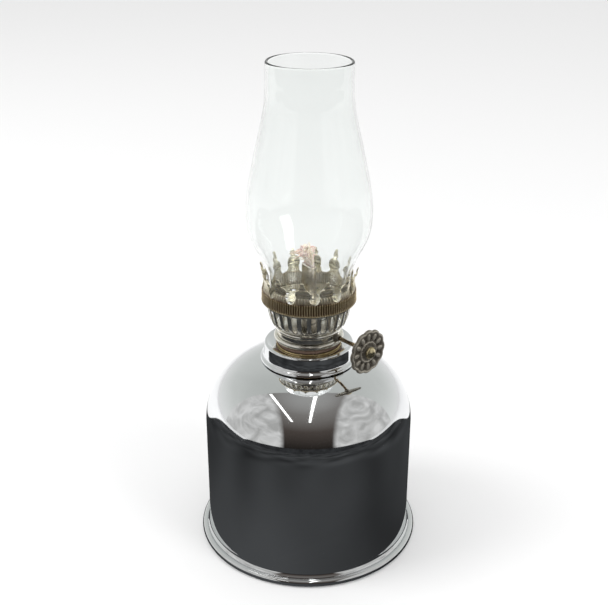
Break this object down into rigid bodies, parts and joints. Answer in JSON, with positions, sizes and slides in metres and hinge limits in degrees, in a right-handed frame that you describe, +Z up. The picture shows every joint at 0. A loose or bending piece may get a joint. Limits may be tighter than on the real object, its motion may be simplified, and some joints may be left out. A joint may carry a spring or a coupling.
{
  "type": "oil lamp",
  "caption": "Small flat-wick oil lamp: chromed domed tank, screw-in burner with slotted basket and pronged gallery, wick-raising knob on a side shaft and lift-off glass chimney.",
  "frame": {"origin": "on the lamp's axis, at the surface that the foot stands on", "axes": "+Z up along the lamp's axis, +X along the wick knob's shaft towards the knob"},
  "size_m": [0.104, 0.104, 0.226],
  "materials": {
    "chrome_plate": "mirror chrome plate on pressed steel",
    "nickel_plate": "thin bright nickel plate with a warm tint",
    "aged_brass": "browned brass band, nickelled prongs",
    "plain_brass": "plain turned brass",
    "antique_pewter": "dark antique plate, worn bright on the relief",
    "seal_fibre": "pressed fibre washer",
    "cotton_wick": "woven flat cotton, frayed at the top",
    "clear_glass": "clear blown glass"
  },
  "bodies": {
    "font": {"base_pan": "chrome_plate", "font_shell": "chrome_plate", "font_collar": "chrome_plate", "thread_bush": "plain_brass"},
    "seal": {"seal_washer": "seal_fibre"},
    "burner": {"burner_base": "nickel_plate", "burner_waist": "nickel_plate", "air_basket": "nickel_plate", "gallery_crown": "aged_brass", "chimney_seat": "nickel_plate", "tube_plate": "nickel_plate", "wick_tube": "nickel_plate", "wheel_cover": "nickel_plate", "shaft_sleeve": "antique_pewter"},
    "wick_raiser": {"raiser_shaft": "antique_pewter", "spur_wheel_inner": "plain_brass", "spur_wheel_outer": "plain_brass", "knob_disc": "antique_pewter", "knob_boss": "antique_pewter", "knob_rivet": "plain_brass"},
    "wick": {"wick": "cotton_wick"},
    "chimney": {"chimney": "clear_glass"}
  },
  "joints": [
    {"name": "burner_lift", "type": "slide", "parent": "font", "child": "seal", "axis": [0, 0, 1], "range_m": [0, 0.0092]},
    {"name": "burner_turn", "type": "hinge", "parent": "seal", "child": "burner", "pos_m": [0, 0, 0.097], "axis": [0, 0, 1], "range_deg": [0, 1080]},
    {"name": "knob_turn", "type": "hinge", "parent": "burner", "child": "wick_raiser", "pos_m": [0, 0.0044, 0.1044], "axis": [-1, 0, 0], "range_deg": [-140, 190]},
    {"name": "wick_lift", "type": "slide", "parent": "burner", "child": "wick", "axis": [0, 0, 1], "range_m": [-0.009, 0.012]},
    {"name": "chimney_lift", "type": "slide", "parent": "burner", "child": "chimney", "axis": [0, 0, 1], "range_m": [0, 0.06]}
  ],
  "couplings": [
    {"joint": "burner_lift", "follows": "burner_turn", "m_per_rad": 0.00047746},
    {"joint": "wick_lift", "follows": "knob_turn", "m_per_rad": 0.0035}
  ]
}
